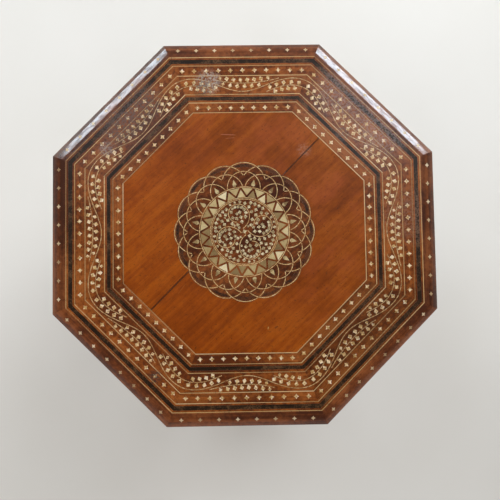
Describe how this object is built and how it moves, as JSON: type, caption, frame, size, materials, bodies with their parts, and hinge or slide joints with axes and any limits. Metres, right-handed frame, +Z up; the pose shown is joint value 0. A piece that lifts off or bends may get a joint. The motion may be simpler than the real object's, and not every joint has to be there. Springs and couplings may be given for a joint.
{
  "type": "folding octagonal table",
  "caption": "Octagonal occasional table with a loose inlaid top that lifts off a folding base of arched, hinged panels.",
  "frame": {"origin": "on the floor, under the centre of the top", "axes": "+Z up out of the top; the front panel, and the lower edge of the top in the picture, face -Y; +X is to the right in the picture"},
  "size_m": [0.56, 0.56, 0.545],
  "materials": {
    "border_wood": "french polished rosewood, worn",
    "rim_wood": "french polished rosewood, worn",
    "field_wood_1": "french polished rosewood",
    "field_wood_2": "french polished rosewood",
    "rosette_wood": "french polished rosewood",
    "ebony": "polished ebony",
    "string_wood": "polished pale wood",
    "bone": "polished bone, yellowed",
    "rim_bone": "worn bone",
    "panel_wood": "french polished rosewood",
    "hidden_wood": "bare wood",
    "brass": "aged brass",
    "screw_steel": "aged steel"
  },
  "bodies": {
    "panel_1": {"side_panel_1": "panel_wood", "hinge_leaves_1": "brass", "hinge_screws_1": "screw_steel", "hinge_pins_1": "brass", "locating_pegs": "hidden_wood"},
    "panel_2": {"side_panel_2": "panel_wood", "hinge_leaves_2": "brass", "hinge_screws_2": "screw_steel"},
    "panel_3": {"side_panel_3": "panel_wood", "hinge_leaves_3": "brass", "hinge_screws_3": "screw_steel", "hinge_pins_3": "brass"},
    "panel_4": {"side_panel_4": "panel_wood", "hinge_leaves_4": "brass", "hinge_screws_4": "screw_steel"},
    "panel_5": {"side_panel_5": "panel_wood", "hinge_leaves_5": "brass", "hinge_screws_5": "screw_steel", "hinge_pins_5": "brass"},
    "panel_6": {"side_panel_6": "panel_wood", "hinge_leaves_6": "brass", "hinge_screws_6": "screw_steel"},
    "panel_7": {"side_panel_7": "panel_wood", "hinge_leaves_7": "brass", "hinge_screws_7": "screw_steel", "hinge_pins_7": "brass"},
    "panel_8": {"side_panel_8": "panel_wood", "hinge_leaves_8": "brass", "hinge_screws_8": "screw_steel"},
    "top": {"border_rail_1": "border_wood", "border_rail_2": "border_wood", "border_rail_3": "border_wood", "border_rail_4": "border_wood", "border_rail_5": "border_wood", "border_rail_6": "border_wood", "border_rail_7": "border_wood", "border_rail_8": "border_wood", "edge_moulding_1": "rim_wood", "edge_moulding_2": "rim_wood", "edge_moulding_3": "rim_wood", "edge_moulding_4": "rim_wood", "edge_moulding_5": "rim_wood", "edge_moulding_6": "rim_wood", "edge_moulding_7": "rim_wood", "edge_moulding_8": "rim_wood", "field_board_1": "field_wood_1", "field_board_2": "field_wood_2", "battens": "hidden_wood", "batten_screws": "screw_steel", "mitre_splines": "hidden_wood", "ebony_inlay": "ebony", "border_strings": "string_wood", "rim_dots": "rim_bone", "border_stars": "bone", "vine_stems": "string_wood", "vine_leaves": "bone", "rosette_ground": "rosette_wood", "rosette_strings": "string_wood", "rosette_bone": "bone", "scroll_leaves": "bone"}
  },
  "joints": [
    {"name": "base_fold", "type": "hinge", "parent": "panel_1", "child": "panel_2", "pos_m": [0.08201, -0.198, 0.2775], "axis": [0, 0, -1], "range_deg": [0, 45]},
    {"name": "corner_2_fold", "type": "hinge", "parent": "panel_2", "child": "panel_3", "pos_m": [0.198, -0.08201, 0.2775], "axis": [0, 0, -1], "range_deg": [0, 45]},
    {"name": "corner_3_fold", "type": "hinge", "parent": "panel_3", "child": "panel_4", "pos_m": [0.198, 0.08201, 0.2775], "axis": [0, 0, 1], "range_deg": [0, 135]},
    {"name": "corner_4_fold", "type": "hinge", "parent": "panel_4", "child": "panel_5", "pos_m": [0.08201, 0.198, 0.2775], "axis": [0, 0, -1], "range_deg": [0, 45]},
    {"name": "corner_8_fold", "type": "hinge", "parent": "panel_1", "child": "panel_8", "pos_m": [-0.08201, -0.198, 0.2775], "axis": [0, 0, 1], "range_deg": [0, 45]},
    {"name": "corner_7_fold", "type": "hinge", "parent": "panel_8", "child": "panel_7", "pos_m": [-0.198, -0.08201, 0.2775], "axis": [0, 0, -1], "range_deg": [0, 135]},
    {"name": "corner_6_fold", "type": "hinge", "parent": "panel_7", "child": "panel_6", "pos_m": [-0.198, 0.08201, 0.2775], "axis": [0, 0, 1], "range_deg": [0, 45]},
    {"name": "top_lift", "type": "slide", "parent": "panel_1", "child": "top", "axis": [0, 0, 1], "range_m": [0, 0.3]}
  ],
  "couplings": [
    {"joint": "corner_2_fold", "follows": "base_fold", "ratio": 1},
    {"joint": "corner_3_fold", "follows": "base_fold", "ratio": 3},
    {"joint": "corner_4_fold", "follows": "base_fold", "ratio": 1},
    {"joint": "corner_8_fold", "follows": "base_fold", "ratio": 1},
    {"joint": "corner_7_fold", "follows": "base_fold", "ratio": 3},
    {"joint": "corner_6_fold", "follows": "base_fold", "ratio": 1}
  ]
}
